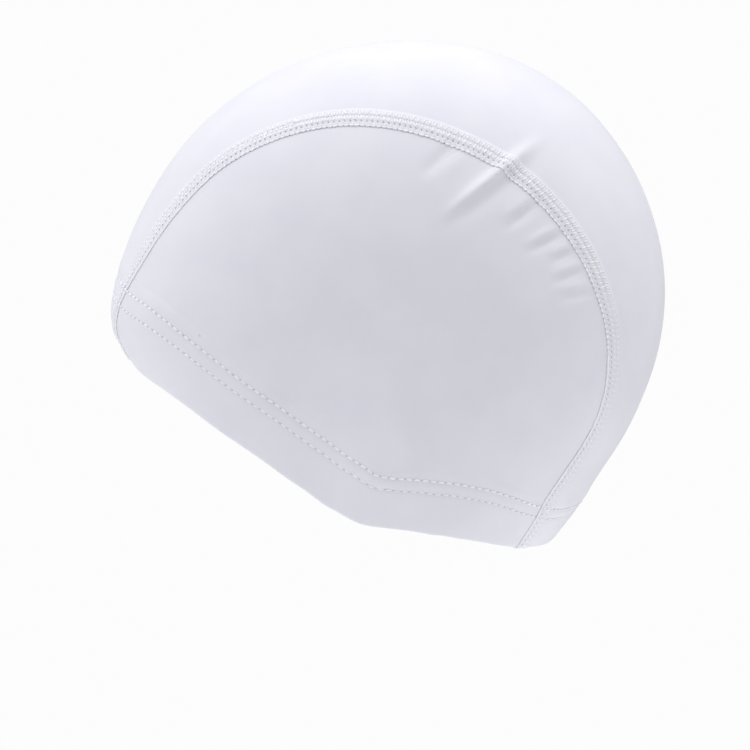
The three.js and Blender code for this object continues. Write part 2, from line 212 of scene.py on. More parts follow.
# %% [markdown]
# ## Lines on the head: the seam, and heights above the rim
# The seam keeps half the strip's flat width from the middle. The rim is a table, and a line above it is
# found by walking up the cloth in small steps, so that a hem keeps its true depth over the curved head.

# %% Seam and rim lines


def tilt_at_width(angle, width):
    steps, tilt = 40, np.zeros_like(angle)
    for _ in range(steps):
        half = tilt + width / steps / 2 / length(slopes(angle, tilt)[1])
        tilt = tilt + width / steps / length(slopes(angle, half)[1])
    return tilt


SEAM = {"angle": STRIP["angle"],
        "tilt": tilt_at_width(STRIP["angle"], STRIP["width"] * STRIP_WIDTH / 2)}


def beside_seam(angle, offset):
    """The tilt of a line beside the seam: a positive offset lies on the side panel."""
    tilt = smooth(SEAM, "angle", "tilt", angle)
    ahead = head(angle + NEAR, smooth(SEAM, "angle", "tilt", angle + NEAR))
    along = unit(ahead - head(angle, tilt))
    return tilt + offset / length(np.cross(slopes(angle, tilt)[1], along))


def rim_place(stop):
    return smooth(RIM, "stop", "angle", stop), smooth(RIM, "stop", "tilt", stop)


STOPS = np.linspace(0, RIM_END, 241)
BLUR = 9


def blurred(rows):
    """Directions eased over their neighbours, so that lines above a sharp corner of the rim don't cross."""
    weights = bell(np.arange(-2 * BLUR, 2 * BLUR + 1) / BLUR)
    mirror = np.array([1, -1, -1])
    padded = join([rows[2 * BLUR:0:-1] * mirror, rows, rows[-2:-2 * BLUR - 2:-1] * mirror])
    return sum(weight * padded[i:i + len(rows)] for i, weight in enumerate(weights / weights.sum()))


def line_above(height):
    """The places at one height above the rim, from the middle of the brow to the middle of the nape."""
    before, after = head(*rim_place(STOPS - NEAR)), head(*rim_place(STOPS + NEAR))
    along = unit(blurred(unit(after - before)))
    angle, tilt = rim_place(STOPS)
    steps = 8
    rise = height * smooth(RIM, "stop", "depth", STOPS) / steps
    for _ in range(steps):
        by_angle, by_tilt = slopes(angle, tilt)
        step = unit(np.cross(outward(angle, tilt), along)) * rise[:, None]
        a, b, c = ((u * v).sum(-1) for u, v in (
            (by_angle, by_angle), (by_angle, by_tilt), (by_tilt, by_tilt)))
        p, q = (by_angle * step).sum(-1), (by_tilt * step).sum(-1)
        angle = angle + (p * c - q * b) / (a * c - b * b)
        tilt = tilt + (q * a - p * b) / (a * c - b * b)
    return angle, tilt


def over_top(angle):
    return np.where(angle < -150, angle + 360, angle)


def meeting(line, tilt_at, at_back):
    """Where a line above the rim meets a line from brow to nape, as an index into the first."""
    angle, tilt = line
    past = tilt - tilt_at(over_top(angle))
    crossing = np.flatnonzero(past[:-1] * past[1:] <= 0)
    i = crossing[-1] if at_back else crossing[0]
    return i + past[i] / (past[i] - past[i + 1])


def on_line(line, index):
    """The angle and tilt at one or more indices of a line."""
    whole = np.arange(len(line[0]))
    return np.interp(index, whole, line[0]), np.interp(index, whole, line[1])


print("seam tilt at the crown:", round(float(smooth(SEAM, "angle", "tilt", 0.0)), 1), "degrees")

# %% [markdown]
# ## Relief: folds, puckers, ear and hem
# Stretched cloth shows what lies under it. The seam gathers a few folds, the thread pulls small puckers, the
# ear pushes the side out, and each row of stitches draws a groove.

# %% Relief


def ramp(value, low, high):
    t = np.clip((value - low) / (high - low), 0, 1)
    return t * t * (3 - 2 * t)


def seen_from_side(point):
    """How far back and how far down a place shows from the camera, measured in the head's middle plane."""
    nearer = 1 / (1 - abs(point[..., 0]) * MM / CAMERA_DISTANCE)
    sight_back, sight_down = CAMERA_PLACE[1] / MM, -CAMERA_PLACE[2] / MM
    return (sight_back + (point[..., 1] - sight_back) * nearer,
            sight_down + (-point[..., 2] - sight_down) * nearer)


def fold_rise(point):
    """Straight folds where the seam gathers the cloth, each from one end to the other."""
    seen_back, seen_down = seen_from_side(point)
    rise = 0.0
    for back, down, back_end, down_end, spread, height in zip(*FOLDS.values()):
        run_back, run_down = back_end - back, down_end - down
        run = np.hypot(run_back, run_down)
        from_back, from_down = seen_back - back, seen_down - down
        t = (from_back * run_back + from_down * run_down) / run**2
        aside = (from_back * run_down - from_down * run_back) / run
        rise = rise + height * bell(aside / spread) * ramp(t, *FOLD_GROWS) * (1 - ramp(t, *FOLD_FADES))
    return rise


PUCKER_RISE, PUCKER_MIDDLE = 0.05, 1.5
PUCKER_BELOW, PUCKER_ABOVE = 4.5, 9.0


def pucker_rise(angle, below):
    """Small puckers that the seam's thread pulls, fading a few millimetres away."""
    wave = np.sin(angle * 4.1 + 1.3 * np.sin(angle * 0.37)) * (0.6 + 0.4 * np.sin(angle * 0.83 + 1))
    spread = np.where(below > 0, PUCKER_BELOW, PUCKER_ABOVE)
    return PUCKER_RISE * wave * bell((below - PUCKER_MIDDLE) / spread)


def ear_rise(point):
    """The whole ear, and its lobe and the hollow behind it, which lie where the photograph shows them."""
    back = point[..., 1] - EAR_BACK * CAP_LENGTH
    down = -point[..., 2] - EAR_DOWN * CAP_HEIGHT
    rise = EAR_RISE * bell(back / EAR_WIDTH) * bell(down / EAR_HEIGHT)
    seen_back, seen_down = seen_from_side(point)
    for part_back, part_down, width, height, part in zip(*EAR_PARTS.values()):
        rise = rise + part * bell((seen_back - part_back) / width) * bell((seen_down - part_down) / height)
    return rise


def brow_tuck(angle, tilt):
    run = (CURL["angle"] - angle) / CURL["run"]
    tuck = BROW_TUCK * (run + np.hypot(run, CURL["bend"])) / 2 * bell(tilt / CURL["spread"])
    return np.where((angle > 0) | (angle < -150), 0, tuck)


STITCH_ROWS = (15.0, 19.4)
HEM_MIDDLE = 17.4
HEM_WAVES = ((STITCH_ROWS[0], 0.5, -0.14), (STITCH_ROWS[1], 0.5, -0.16),
             (17.2, 1.3, 0.14), (22.2, 2.4, 0.26), (12.5, 2.0, 0.1))
BAND_RISE, BAND_SHOULDER = 0.36, (SEAM_WIDTH - 0.3, SEAM_WIDTH + 0.5)
BAND_GROOVES = ((0.0, 0.35, -0.08), (1.75, 0.4, -0.18), (4.4, 0.4, -0.08))


def waves(value, rows):
    """Puffs and grooves along one distance, each given by its middle, spread and rise."""
    return sum(rise * bell((value - middle) / spread) for middle, spread, rise in rows)


def hem_rise(height):
    """The grooves of the two stitch rows, and the cloth that puffs beside them."""
    return waves(height, HEM_WAVES)


def band_rise(across):
    """The lapped seam lies on the strip's edge as a raised band, grooved between its rows of threads."""
    return BAND_RISE * (1 - ramp(across, *BAND_SHOULDER)) + waves(across, BAND_GROOVES)


def surface(angle, tilt, rise):
    skin = head(angle, tilt)
    normal = outward(angle, tilt)
    own = fold_rise(skin) + ear_rise(skin) - brow_tuck(angle, tilt)
    return skin + normal * (rise + own)[..., None], normal


# %% [markdown]
# ## The folded hem
# The hem is the cloth itself, turned in and up and stitched down, so each panel is one sheet that runs down
# to the rim, round a tight fold, and up again inside. Its rows are given by a height and a layer.

# %% Rows of the hem
OUTER_HEIGHTS = [0.9, 1.9, 3.2, 4.8, 6.4, 8, 9.6, 11.1, 12.4, 13.3, 14.0, 14.5, 14.8, 15.0, 15.2, 15.5, 16.0,
                 16.7, 17.4, 18.1, 18.7, 19.1, 19.4, 19.7, 20.1, 20.7, 21.4]
INNER_HEIGHTS = [21, 20.4, 19.9, 19.4, 18.9, 18.2, 17.2, 16.2, 15.5, 15.0, 14.5, 13.6, 12, 10, 8, 6, 4,
                 2.4, 0.9]
FOLD_TURNS = [150, 120, 90, 60, 30]
BODY_HEIGHT = HEM_DEPTH + HEM_EDGE
LAYER_GAP, LAP_GAP = 1.4, 0.6

ALL_HEIGHTS = sorted(set(OUTER_HEIGHTS + INNER_HEIGHTS + [BODY_HEIGHT]))
LINES = {height: line_above(height) for height in ALL_HEIGHTS}
HEM_ROWS = ([(h, 180) for h in INNER_HEIGHTS] + [(FOLD_LINE, turn) for turn in FOLD_TURNS]
            + [(h, 0) for h in OUTER_HEIGHTS])
print(len(HEM_ROWS), "rows in the hem,", len(LINES), "lines above the rim")


def layer_gap(across):
    """From the outer layer to the folded one, more where the seam's lap makes the hem thicker."""
    return LAYER_GAP + LAP_GAP * ramp(across, -2.5, 0) * (1 - ramp(across, 7.5, 10))


def hem_rows_of(places, rises, across):
    """Points of all hem rows. places and rises hold angle, tilt and rise of each height, for each column."""
    points = {}
    for height, (angle, tilt) in places.items():
        points[height] = surface(angle, tilt, np.zeros_like(angle))
    gap = layer_gap(across)
    base, normal = points[FOLD_LINE]
    up = unit(points[OUTER_HEIGHTS[1]][0] - base)
    rows = []
    for height, turn in HEM_ROWS:
        if 0 < turn < 180:
            radius = gap / 2 + rises(height)
            side = np.cos(np.radians(turn)) * radius - gap / 2
            rows.append(base + normal * side[:, None] - up * (np.sin(np.radians(turn)) * radius)[:, None])
        else:
            spot, out = points[height]
            rise = rises(height)
            rows.append(spot + out * np.where(turn, -gap - rise, rise)[:, None])
    return np.array(rows)


# %% [markdown]
# ## Stations along the seam
# Both panels share their stations along the seam, close together where a fold needs them.

# %% Stations


def seam_tilt(offset):
    return lambda angle: beside_seam(angle, offset)


BODY_LINE = LINES[BODY_HEIGHT]


def seam_ends(offset):
    """The angles where a line beside the seam meets the hem, at the brow and at the nape."""
    return [float(over_top(on_line(BODY_LINE, meeting(BODY_LINE, seam_tilt(offset), at_back))[0]))
            for at_back in (False, True)]


SEAM_START, SEAM_END = seam_ends(0.0)
STATION_COUNT, SWEEP_COUNT = 280, 4000
MORE_AT_FOLDS, FOLD_REACH = 1.6, 2.2
sweep = np.linspace(SEAM_START, SEAM_END, SWEEP_COUNT)
density = 1 + sum(MORE_AT_FOLDS * bell((sweep - centre) / (FOLD_REACH * spread))
                  for centre, spread in FOLD_ANGLES)
steps = join([[0], np.cumsum(density[1:])])
STATIONS = np.interp(np.linspace(0, steps[-1], STATION_COUNT + 1), steps, np.linspace(0, 1, SWEEP_COUNT))
print("seam from", round(SEAM_START, 1), "to", round(SEAM_END, 1), "degrees,", len(STATIONS), "stations")

# %% [markdown]
# ## The centre panel's places
# Columns run from brow to nape. Those in the seam's band keep a fixed distance from the panel's edge, and the
# others share the rest of the width. One half is worked out and the other is its mirror image.

# %% Places on the centre panel
BAND_COLUMNS = [0.0, 0.25, 0.6, 1.1, 1.7, 2.4, 3.4, 4.4, 5.4, 6.4, 6.8, 7.15, 7.5]
FIELD_EDGE = 8.4
FIELD_COUNT = 36
FIELD_FROM, FIELD_TO = 7.0, 9.0


def centre_columns():
    """The columns of the left half, from the middle to the edge: a share of the field, and a distance."""
    t = np.linspace(0, 1, FIELD_COUNT + 1)
    fields = [(share, FIELD_EDGE) for share in 1.3 * t - 0.3 * t**3]
    return fields + [(1.0, across) for across in reversed(BAND_COLUMNS)]


def centre_places():
    hem = {height: ([], []) for height in LINES}
    hem_back = {height: ([], []) for height in LINES}
    body_angle, body_tilt = [], []
    for share, across in centre_columns():
        def tilt_at(angle, share=share, across=across):
            return max(share, 1e-4) * beside_seam(angle, -across)

        for store, at_back in ((hem, False), (hem_back, True)):
            for height, line in LINES.items():
                angle, _ = on_line(line, meeting(line, tilt_at, at_back))
                angle = over_top(angle)
                store[height][0].append(angle)
                store[height][1].append(tilt_at(angle))
        start, end = hem[BODY_HEIGHT][0][-1], hem_back[BODY_HEIGHT][0][-1]
        angles = start + (end - start) * STATIONS
        body_angle.append(angles)
        body_tilt.append(tilt_at(angles))
    arrays = [{h: (np.array(a), np.array(t)) for h, (a, t) in part.items()} for part in (hem, hem_back)]
    return arrays[0], (np.array(body_angle).T, np.array(body_tilt).T), arrays[1]


def distance_across(angle, tilt):
    """How far a place on the strip lies from the strip's edge."""
    edge = smooth(SEAM, "angle", "tilt", angle)
    return (edge - tilt) * length(slopes(angle, edge)[1])


front, body, back = centre_places()
fixed = np.array([across if share == 1 and across < FIELD_EDGE else -1 for share, across in centre_columns()])


def centre_rises(places):
    def rises(height):
        angle, tilt = places[height]
        across = np.where(fixed >= 0, fixed, distance_across(angle, tilt))
        return band_rise(across) + hem_rise(height) * ramp(across, FIELD_FROM, FIELD_TO)
    return rises


front_across = np.where(fixed >= 0, fixed, distance_across(*front[FOLD_LINE]))
back_across = np.where(fixed >= 0, fixed, distance_across(*back[FOLD_LINE]))
front_rows = hem_rows_of(front, centre_rises(front), front_across)
back_rows = hem_rows_of(back, centre_rises(back), back_across)

body_across = np.where(fixed >= 0, fixed, distance_across(*body))
run = run_along(head(*body))
from_hem = np.minimum(run, run[-1] - run)
body_rise = (band_rise(body_across) + pucker_rise(body[0], -body_across)
             + hem_rise(BODY_HEIGHT + from_hem) * ramp(body_across, FIELD_FROM, FIELD_TO))
body_points, _ = surface(*body, body_rise)
half = join([front_rows, body_points, back_rows[::-1]])
CENTRE = join([half[:, :0:-1] * (-1, 1, 1), half], 1)
print("centre panel grid:", CENTRE.shape)

# %% [markdown]
# ## From a flat grid to cloth
# `bmesh.ops.create_grid` makes the flat sheet, as it comes off the roll, and each of its corners is then laid
# in its place on the head. Named attributes carry the distances along and across the seam and the hem, so
# that the finish can put needle holes, with their painted shade, where the needle went.

# %% Cloth from grids
ATTRIBUTES = ("seam_along", "seam_across", "hem_along", "hem_up", "weave_u", "weave_v")


def add_grid(bm, places, values):
    """One flat grid in bm, with each corner laid in its place. values holds an array for each attribute."""
    layers = [bm.verts.layers.float.get(name) or bm.verts.layers.float.new(name) for name in ATTRIBUTES]
    rows, columns = places.shape[:2]
    corners = bmesh.ops.create_grid(bm, x_segments=columns - 1, y_segments=rows - 1, size=1.0)["verts"]
    for corner in corners:
        i = round((corner.co.y + 1) / 2 * (rows - 1))
        j = round((corner.co.x + 1) / 2 * (columns - 1))
        corner.co = places[i, j] * MM
        for layer, name in zip(layers, ATTRIBUTES):
            corner[layer] = values[name][i, j]


def on_corners(points, *values):
    """The attributes of a grid, in the order of their names, each spread over all its corners."""
    return {name: np.broadcast_to(value, points.shape[:2]) for name, value in zip(ATTRIBUTES, values)}


def add_piece(name, mesh):
    piece = bpy.data.objects.new(name, mesh)
    bpy.context.scene.collection.objects.link(piece)
    return piece


def mesh_of(bm, name):
    mesh = bpy.data.meshes.new(name)
    bm.to_mesh(mesh)
    bm.free()
    return mesh


def finish_cloth(bm, name, node, materials):
    """Welds the grids, marks the cut edges and gives the sheet its thickness."""
    bmesh.ops.remove_doubles(bm, verts=bm.verts, dist=1e-6)
    for edge in bm.edges:
        edge.smooth = not edge.is_boundary
    for face in bm.faces:
        face.smooth = True
    mesh = mesh_of(bm, name)
    corner_of_loop = np.zeros(len(mesh.loops), int)
    mesh.loops.foreach_get("vertex_index", corner_of_loop)
    weave = np.zeros((2, len(mesh.vertices)), np.float32)
    for values, key in zip(weave, ("weave_u", "weave_v")):
        mesh.attributes[key].data.foreach_get("value", values)
    weave_map = mesh.uv_layers.new(name="weave")
    weave_map.data.foreach_set("uv", (weave.T[corner_of_loop] * MM).ravel())
    piece = add_piece(name, mesh)
    for material in materials:
        mesh.materials.append(material)
    wall = piece.modifiers.new("wall", "SOLIDIFY")
    wall.thickness = CLOTH * MM
    wall.offset = -1.0
    wall.material_offset = 1
    wall.material_offset_rim = 0
    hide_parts(node)
    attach(piece, "root")
    print(name, len(mesh.vertices), "corners")
    return piece


# %% [markdown]
# ## Attributes of the centre panel

# %% Distances on the centre panel
row_count, hem_count = half.shape[0], len(HEM_ROWS)
THREAD_COLUMN = -7
seam_line = half[:, THREAD_COLUMN]
seam_run = run_along(seam_line)
across_rows = join([np.tile(front_across, (hem_count, 1)), body_across, np.tile(back_across, (hem_count, 1))])
hem_heights = np.array([height for height, _ in HEM_ROWS])
up_rows = join([np.tile(hem_heights[:, None], half.shape[1]), BODY_HEIGHT + from_hem,
                np.tile(hem_heights[::-1, None], half.shape[1])])


def hem_run(rows):
    """Distances along the hem, measured between its two rows of stitches, from the first column."""
    return run_along(rows[hem_count - len(OUTER_HEIGHTS) + OUTER_HEIGHTS.index(HEM_MIDDLE)])


front_run, back_run = hem_run(front_rows), hem_run(back_rows)
front_half = row_count // 2
along_rows = join([np.tile(front_run, (front_half, 1)), np.tile(back_run, (row_count - front_half, 1))])


def mirror_columns(values, sign=1):
    return join([sign * values[:, :0:-1], values], 1)


side_run = run_along(half.swapaxes(0, 1)).T
seam_rows = seam_run[:, None]
half_values = on_corners(half, seam_rows, across_rows, along_rows, up_rows, side_run, seam_rows)
centre_values = {name: mirror_columns(values, -1 if name == "weave_u" else 1)
                 for name, values in half_values.items()}
print("seam length in mm:", round(float(seam_run[-1])))

# %% [markdown]
# ## The side panel's places
# A side panel is laid out from the middle of the side, in rings that end at the seam above and at the hem
# below. Its edge then slips under the centre panel's band, because the real seam laps two layers.

# %% Rings of the side panel
RING_COUNT = 66
HEM_COLUMNS = 170
SIDE_EDGE = 1.2
LAP = [0.8, 0.4, 0.1, -0.4, -1.4, -3.4, -5.8]
LAP_DROP = 0.3


def lap_drop(offset):
    """The side panel's edge drops below the band by this much, in millimetres."""
    return -LAP_DROP * (1 - ramp(offset, -0.5, 0.5))


hem_front = {h: meeting(line, seam_tilt(SIDE_EDGE), False) for h, line in LINES.items()}
hem_back = {h: meeting(line, seam_tilt(SIDE_EDGE), True) for h, line in LINES.items()}
hem_share = np.linspace(0, 1, HEM_COLUMNS + 1)
edge_fade = ramp(hem_share, 0.0, 0.12) * (1 - ramp(hem_share, 0.9, 1.0))


def side_hem_place(height, share):
    index = hem_front[height] + (hem_back[height] - hem_front[height]) * share
    return on_line(LINES[height], index)


under_angle, under_tilt = side_hem_place(BODY_HEIGHT, hem_share)
first, last = float(under_angle[0]), float(over_top(under_angle[-1]))
over_angle = first + (last - first) * STATIONS
over_tilt = beside_seam(over_angle, SIDE_EDGE)
over_lean = LEAN["most"] * bell((over_angle - LEAN["angle"]) / LEAN["spread"])
ring_angle = join([over_angle, under_angle[-2::-1] + 360])
ring_tilt = join([over_tilt, under_tilt[-2::-1]])
ring_lean = join([over_lean, np.zeros(HEM_COLUMNS)])
ring_fade = join([np.zeros(len(over_angle)), edge_fade[-2::-1]])
t = np.linspace(0, 1, RING_COUNT + 1)
ring_share = (1.3 * t - 0.3 * t**2)[:, None]

disc_angle = ring_angle - ring_lean * (1 - np.exp((ring_share - 1) / LEAN["depth"]))
disc_tilt = 90 + (ring_tilt - 90) * ring_share
edge_points = head(ring_angle, ring_tilt)
inward = length(head(disc_angle, disc_tilt) - edge_points)
is_over = np.arange(len(ring_angle)) < len(over_angle)
disc_rise = np.where(is_over, pucker_rise(ring_angle, SIDE_EDGE + inward),
                     hem_rise(BODY_HEIGHT + inward) * ring_fade)
disc_points, _ = surface(disc_angle, disc_tilt, disc_rise)
print("side disc grid:", disc_points.shape)

# %% [markdown]
# ## The lap and the hem of the side panel

# %% Lap and hem
lap_angle, lap_tilt = [], []
for offset in LAP:
    start, end = seam_ends(offset)
    lap_angle.append(start + (end - start) * STATIONS)
    lap_tilt.append(beside_seam(lap_angle[-1], offset))
lap_angle, lap_tilt = np.array(lap_angle), np.array(lap_tilt)
lap_rise = lap_drop(np.array(LAP))[:, None] + pucker_rise(lap_angle, 0.0)
lap_points, _ = surface(lap_angle, lap_tilt, lap_rise)
lap_points = join([disc_points[-1:, :len(over_angle)], lap_points])


def side_hem_places(height):
    """Angles and tilts along one height of the hem, with the lap's columns at both ends."""
    line = LINES[height]
    angle, tilt = side_hem_place(height, hem_share)
    fronts = [on_line(line, meeting(line, seam_tilt(offset), False)) for offset in reversed(LAP)]
    backs = [on_line(line, meeting(line, seam_tilt(offset), True)) for offset in LAP]
    return [join([[place[i] for place in fronts], middle, [place[i] for place in backs]])
            for i, middle in enumerate((angle, tilt))]


column_offset = join([LAP[::-1], np.full(HEM_COLUMNS + 1, SIDE_EDGE), LAP])
column_fade = join([np.zeros(len(LAP)), edge_fade, np.zeros(len(LAP))])
side_hem = {height: side_hem_places(height) for height in LINES}


def side_rises(height):
    return lap_drop(column_offset) + hem_rise(height) * np.where(column_offset < SIDE_EDGE, 0, column_fade)


side_rows = hem_rows_of(side_hem, side_rises, -column_offset)
ring_back_to_front = disc_points[-1][::-1][:HEM_COLUMNS + 1]
body_row = join([lap_points[:0:-1, 0], ring_back_to_front, lap_points[1:, -1]])
hem_points = join([side_rows, body_row[None]])
print("side hem grid:", hem_points.shape)

# %% [markdown]
# ## Attributes of the side panel

# %% Distances on the side panel
FAR_OFF = 100.0
over_count = len(over_angle)
over_run = run_along(lap_points[0])
side_hem_run = hem_run(hem_points)
under_run = side_hem_run[len(LAP):len(LAP) + HEM_COLUMNS + 1][-2::-1]
disc_values = on_corners(
    disc_points, join([over_run, np.zeros(HEM_COLUMNS)]),
    np.where(is_over, -(SIDE_EDGE + inward), -FAR_OFF), join([np.zeros(over_count), under_run]),
    np.where(is_over, FAR_OFF, BODY_HEIGHT + inward), disc_points[..., 1], disc_points[..., 2])
lap_values = on_corners(lap_points, over_run, -np.array([SIDE_EDGE] + LAP)[:, None], 0.0, FAR_OFF,
                        lap_points[..., 1], lap_points[..., 2])
hem_values = on_corners(
    hem_points, 0.0, -column_offset - np.where(column_offset < SIDE_EDGE, 0, FAR_OFF), side_hem_run,
    join([hem_heights, [BODY_HEIGHT]])[:, None], side_hem_run, hem_points[..., 2])
print("hem length of one side in mm:", round(float(side_hem_run[-1])))

# %% [markdown]
# ## Needle holes and grain, as shared node groups
# Each needle leaves a small hole at an even pitch along its row, and its dark look is painted shade. A group
# turns the distances that the cloth carries into a mask of such holes. A second group gives the cloth's fine
# grain.

# %% Node helpers
SEAM_PITCH, HEM_PITCH = 2.0, 3.0
NEEDLE_ROW, NEEDLE_SHIFT, NEEDLE_HOLE, HEM_HOLE = 1.75, 0.1, 0.5, 0.45
# Fainter rows of dark dots darken the band's cloth between its threads, as painted shade.
FAINT_ROWS = ((0.9, 0.55, 0.3), (4.4, 0.3, 0.28), (6.55, 0.4, 0.28))
FAINT = 0.6


def group_of(name, outputs):
    tree = bpy.data.node_groups.new(name, "ShaderNodeTree")
    for output in outputs:
        tree.interface.new_socket(name=output, in_out="OUTPUT", socket_type="NodeSocketFloat")
    return tree, tree.nodes.new("NodeGroupOutput")


def math(tree, operation, *values):
    node = tree.nodes.new("ShaderNodeMath")
    node.operation = operation
    for socket, value in zip(node.inputs, values):
        if isinstance(value, (int, float)):
            socket.default_value = value
        else:
            tree.links.new(value, socket)
    return node.outputs[0]


def attribute(tree, name):
    node = tree.nodes.new("ShaderNodeAttribute")
    node.attribute_name = name
    return node.outputs["Fac"]


def soft_step(tree, value, low, high, start, end):
    """A value mapped smoothly from start at low to end at high."""
    node = tree.nodes.new("ShaderNodeMapRange")
    node.interpolation_type = "SMOOTHSTEP"
    for socket, number in zip(node.inputs[1:5], (low, high, start, end)):
        socket.default_value = number
    tree.links.new(value, node.inputs[0])
    return node.outputs[0]


def hole_row(tree, along, across, pitch, shift, row, radius):
    """One row of round holes."""
    turn = math(tree, "FRACT", math(tree, "MULTIPLY_ADD", along, 1 / pitch, shift))
    aside = math(tree, "MULTIPLY", math(tree, "SUBTRACT", turn, 0.5), pitch)
    off_row = math(tree, "SUBTRACT", across, row)
    apart = math(tree, "SQRT", math(tree, "ADD", math(tree, "MULTIPLY", aside, aside),
                                    math(tree, "MULTIPLY", off_row, off_row)))
    return soft_step(tree, apart, radius * 0.35, radius, 1.0, 0.0)


holes, holes_out = group_of("needle_holes", ("Seam", "Hem"))
along, across = attribute(holes, "seam_along"), attribute(holes, "seam_across")
seam_holes = hole_row(holes, along, across, SEAM_PITCH, NEEDLE_SHIFT, NEEDLE_ROW, NEEDLE_HOLE)
for row, shift, radius in FAINT_ROWS:
    seam_holes = math(holes, "MAXIMUM", seam_holes, math(holes, "MULTIPLY", hole_row(
        holes, along, across, SEAM_PITCH, shift, row, radius), FAINT))
holes.links.new(seam_holes, holes_out.inputs["Seam"])
along, up = attribute(holes, "hem_along"), attribute(holes, "hem_up")
low, high = (hole_row(holes, along, up, HEM_PITCH, 0.5, row, HEM_HOLE) for row in STITCH_ROWS)
holes.links.new(math(holes, "MAXIMUM", low, high), holes_out.inputs["Hem"])

grain, grain_out = group_of("cloth_grain", ("Height", "Tone", "Specks"))


def noise(tree, vector, scale, detail=2.0):
    node = tree.nodes.new("ShaderNodeTexNoise")
    node.inputs["Scale"].default_value = scale
    node.inputs["Detail"].default_value = detail
    tree.links.new(vector, node.inputs["Vector"])
    return node.outputs["Fac"]


FINE_GRAIN, MIDDLE_GRAIN, TONE_PATCHES, SPECK_SPREAD = 2600.0, 420.0, 55.0, 34.0
object_place = grain.nodes.new("ShaderNodeTexCoord").outputs["Object"]
fine, middle = noise(grain, object_place, FINE_GRAIN), noise(grain, object_place, MIDDLE_GRAIN)
grain.links.new(math(grain, "ADD", math(grain, "MULTIPLY", fine, 0.6), math(grain, "MULTIPLY", middle, 0.4)),
                grain_out.inputs["Height"])
grain.links.new(soft_step(grain, noise(grain, object_place, TONE_PATCHES, 4.0), 0.3, 0.7, 0.0, 1.0),
                grain_out.inputs["Tone"])
speck = grain.nodes.new("ShaderNodeTexVoronoi")
speck.inputs["Scale"].default_value = SPECK_SPREAD
grain.links.new(object_place, speck.inputs["Vector"])
grain.links.new(soft_step(grain, speck.outputs["Distance"], 0.012, 0.022, 1.0, 0.0),
                grain_out.inputs["Specks"])
print("node groups:", [group.name for group in bpy.data.node_groups])

# %% [markdown]
# ## Three finishes
# The outside is a smooth, satin white coating with a faint lavender cast. The inside is the bare knit of the
# cloth, a little warmer and quite matt. The sewing thread is a bright white polyester.

# %% Finishes
COATING = (0.79, 0.79, 0.865, 1.0)
COATING_SHADE = (0.765, 0.765, 0.845, 1.0)
# Needle holes are painted this dark as painted shade; the cloth's own small specks take the same tone.
HOLE_SHADE_AND_SPECK_TONE = (0.3, 0.3, 0.34, 1.0)
KNIT = (0.78, 0.78, 0.82, 1.0)
# KNIT_SHADE is painted shade for the grooves of the knit.
KNIT_SHADE = (0.62, 0.62, 0.67, 1.0)
THREAD = (0.96, 0.96, 0.985, 1.0)
THREAD_SHADE = (0.88, 0.88, 0.92, 1.0)
# SEAM_PIT and HEM_PIT set both how dark the painted shade of the needle holes is and how deep their dent is.
SEAM_PIT, HEM_PIT, SPECK_MARK, GRAIN_HEIGHT = 0.5, 0.34, 0.25, 0.05
COATING_RELIEF, KNIT_RELIEF, THREAD_RELIEF = 0.0003, 0.00012, 0.00008
FULL_TURN = 6.2832


def finish(name, roughness):
    material = bpy.data.materials.new(name)
    material.use_nodes = True
    shader = material.node_tree.nodes["Principled BSDF"]
    shader.inputs["Roughness"].default_value = roughness
    return material, material.node_tree, shader


def blend_of(tree, factor, low, high):
    node = tree.nodes.new("ShaderNodeMix")
    node.data_type = "RGBA"
    tree.links.new(factor, node.inputs[0])
    for socket, value in ((node.inputs[6], low), (node.inputs[7], high)):
        if isinstance(value, tuple):
            socket.default_value = value
        else:
            tree.links.new(value, socket)
    return node.outputs[2]


def relief(tree, shader, height, depth):
    node = tree.nodes.new("ShaderNodeBump")
    node.inputs["Distance"].default_value = depth
    node.inputs["Strength"].default_value = 1.0
    tree.links.new(height, node.inputs["Height"])
    tree.links.new(node.outputs["Normal"], shader.inputs["Normal"])


def placed_group(tree, group):
    node = tree.nodes.new("ShaderNodeGroup")
    node.node_tree = group
    return node.outputs


coated_face, tree, shader = finish("coated_face", 0.46)
shader.inputs["Sheen Weight"].default_value = 0.08
shader.inputs["Sheen Roughness"].default_value = 0.4
grain_here, holes_here = placed_group(tree, grain), placed_group(tree, holes)
colour = blend_of(tree, grain_here["Tone"], COATING, COATING_SHADE)
# The needle holes dent the coating through the bump and also darken its colour as painted shade.
hole_dents_and_shade = math(tree, "MAXIMUM", math(tree, "MULTIPLY", holes_here["Seam"], SEAM_PIT),
            math(tree, "MULTIPLY", holes_here["Hem"], HEM_PIT))
# Painted shade of the holes and the cloth's own specks join in one mask that darkens the colour.
hole_shade_and_specks = math(tree, "MAXIMUM", hole_dents_and_shade, math(tree, "MULTIPLY", grain_here["Specks"], SPECK_MARK))
tree.links.new(blend_of(tree, hole_shade_and_specks, colour, HOLE_SHADE_AND_SPECK_TONE), shader.inputs["Base Color"])
height = math(tree, "SUBTRACT", math(tree, "MULTIPLY", grain_here["Height"], GRAIN_HEIGHT), hole_dents_and_shade)
relief(tree, shader, height, COATING_RELIEF)

knit_face, tree, shader = finish("knit_face", 0.85)
shader.inputs["Sheen Weight"].default_value = 0.3
weave_map = tree.nodes.new("ShaderNodeUVMap")
weave_map.uv_map = "weave"
split = tree.nodes.new("ShaderNodeSeparateXYZ")
tree.links.new(weave_map.outputs["UV"], split.inputs[0])
WALE, COURSE = 0.0009, 0.0007
wales = math(tree, "SINE", math(tree, "MULTIPLY", split.outputs["X"], FULL_TURN / WALE))
courses = math(tree, "SINE", math(tree, "MULTIPLY", split.outputs["Y"], FULL_TURN / COURSE))
stitch = math(tree, "MULTIPLY_ADD", math(tree, "ADD", wales, math(tree, "MULTIPLY", courses, 0.6)), 0.3, 0.5)
